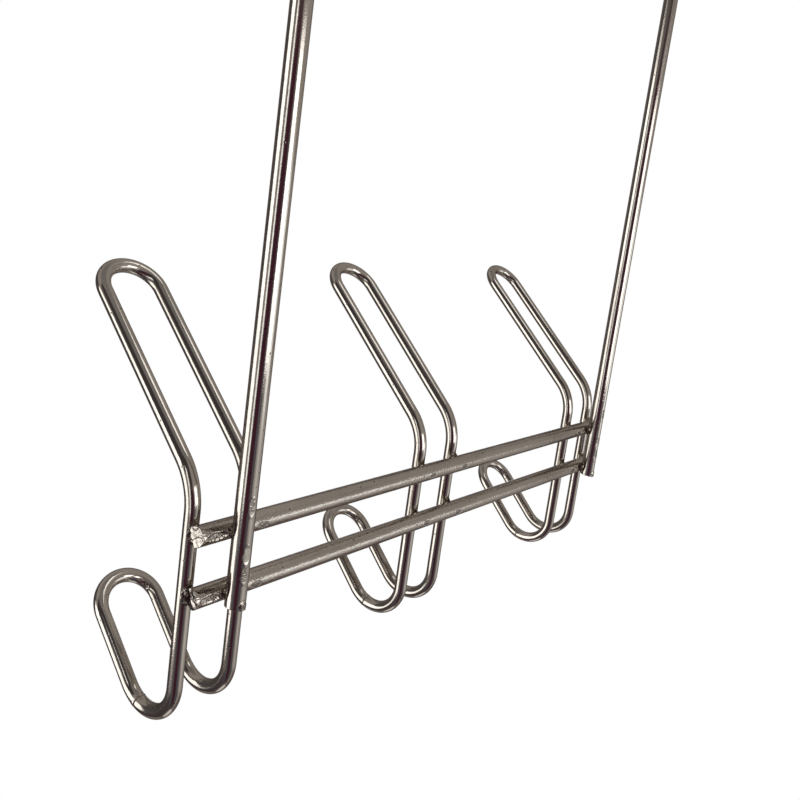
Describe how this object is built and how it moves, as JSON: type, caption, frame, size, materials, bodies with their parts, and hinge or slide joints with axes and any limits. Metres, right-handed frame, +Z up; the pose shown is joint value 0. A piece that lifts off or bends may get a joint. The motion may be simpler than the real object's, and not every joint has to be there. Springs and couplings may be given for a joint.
{
  "type": "over-door wire hook rack",
  "caption": "Welded wire rack that hangs over a door's top edge: cross rods with looped double hooks in front and bent hangers behind.",
  "frame": {"origin": "on the door's top edge: under the hangers' bridges, midway between the two hangers and midway between their front and rear legs", "axes": "+Z up, +X along the cross rods, the hooks point along -Y and the door is behind the cross rods on the +Y side"},
  "size_m": [0.2388, 0.1233, 0.2799],
  "materials": {
    "rod_plate": "satin nickel plate on the drawn cross rods, with fine drawing lines",
    "wire_plate": "glossy nickel plate on the bent hooks and hangers",
    "weld_metal": "rough plated resistance-weld flash, darker than the wire",
    "seam_metal": "plated butt-weld flash, dressed almost flush"
  },
  "bodies": {
    "root": {"upper_cross_rod": "rod_plate", "lower_cross_rod": "rod_plate", "hook_plus_x": "wire_plate", "hook_plus_x_upper_welds": "weld_metal", "hook_plus_x_lower_welds": "weld_metal", "hook_plus_x_seam": "seam_metal", "hook_middle": "wire_plate", "hook_middle_upper_welds": "weld_metal", "hook_middle_lower_welds": "weld_metal", "hook_middle_seam": "seam_metal", "hook_minus_x": "wire_plate", "hook_minus_x_upper_welds": "weld_metal", "hook_minus_x_lower_welds": "weld_metal", "hook_minus_x_seam": "seam_metal", "hanger_plus_x": "wire_plate", "hanger_plus_x_upper_weld": "weld_metal", "hanger_plus_x_lower_weld": "weld_metal", "hanger_minus_x": "wire_plate", "hanger_minus_x_upper_weld": "weld_metal", "hanger_minus_x_lower_weld": "weld_metal"}
  },
  "joints": []
}
